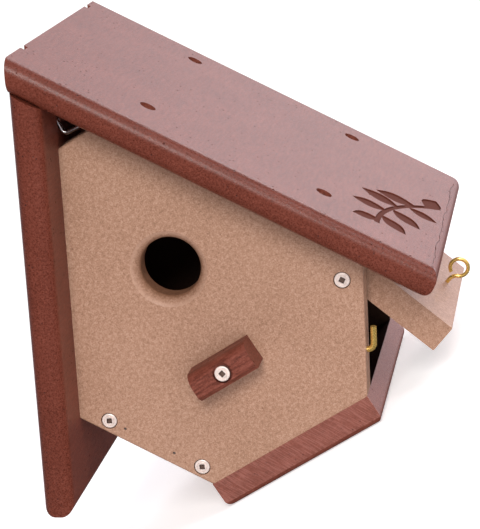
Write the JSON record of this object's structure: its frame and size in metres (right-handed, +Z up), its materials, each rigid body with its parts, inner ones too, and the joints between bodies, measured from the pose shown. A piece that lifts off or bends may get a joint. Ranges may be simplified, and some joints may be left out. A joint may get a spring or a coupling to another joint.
{
  "type": "birdhouse",
  "caption": "Hanging A-frame birdhouse in recycled plastic boards: steep overlapping roof, six-sided front with round entrance and perch, side door that swings out, hook latch, wire hanger.",
  "frame": {"origin": "centre of the floor board's underside", "axes": "+Z up towards the ridge, -Y out of the entrance, +X to the side with the door"},
  "size_m": [0.2454, 0.18, 0.262],
  "materials": {
    "brown_board": "satin recycled plastic board, brown",
    "tan_board": "satin recycled plastic board, flecked tan",
    "brass": "polished brass plate",
    "stainless": "stainless screw",
    "nail_steel": "dull steel",
    "wire_steel": "galvanised wire"
  },
  "bodies": {
    "house": {"roof_board_right": "brown_board", "roof_board_left": "brown_board", "front_panel": "tan_board", "back_panel": "tan_board", "floor_board": "brown_board", "left_wall": "tan_board", "perch_block": "brown_board", "perch_screw": "stainless", "roof_screws_right": "stainless", "roof_screws_left": "stainless", "front_panel_screws": "stainless", "back_panel_screws": "stainless", "floor_screws": "stainless", "front_panel_nails": "nail_steel", "back_panel_nails": "nail_steel", "hanger_wire": "wire_steel"},
    "door": {"door": "tan_board", "door_eye": "brass", "door_pivot_screw_front": "stainless", "door_pivot_screw_back": "stainless"},
    "latch": {"latch_hook": "brass"}
  },
  "joints": [
    {"name": "door_swing", "type": "hinge", "parent": "house", "child": "door", "pos_m": [0.07244, 0, 0.07502], "axis": [0, -1, 0], "range_deg": [-50.2, 8]},
    {"name": "latch_turn", "type": "hinge", "parent": "house", "child": "latch", "pos_m": [0.06113, -0.06195, 0.03556], "axis": [-0.8549, 0, 0.5188], "range_deg": [-90, 90]}
  ]
}
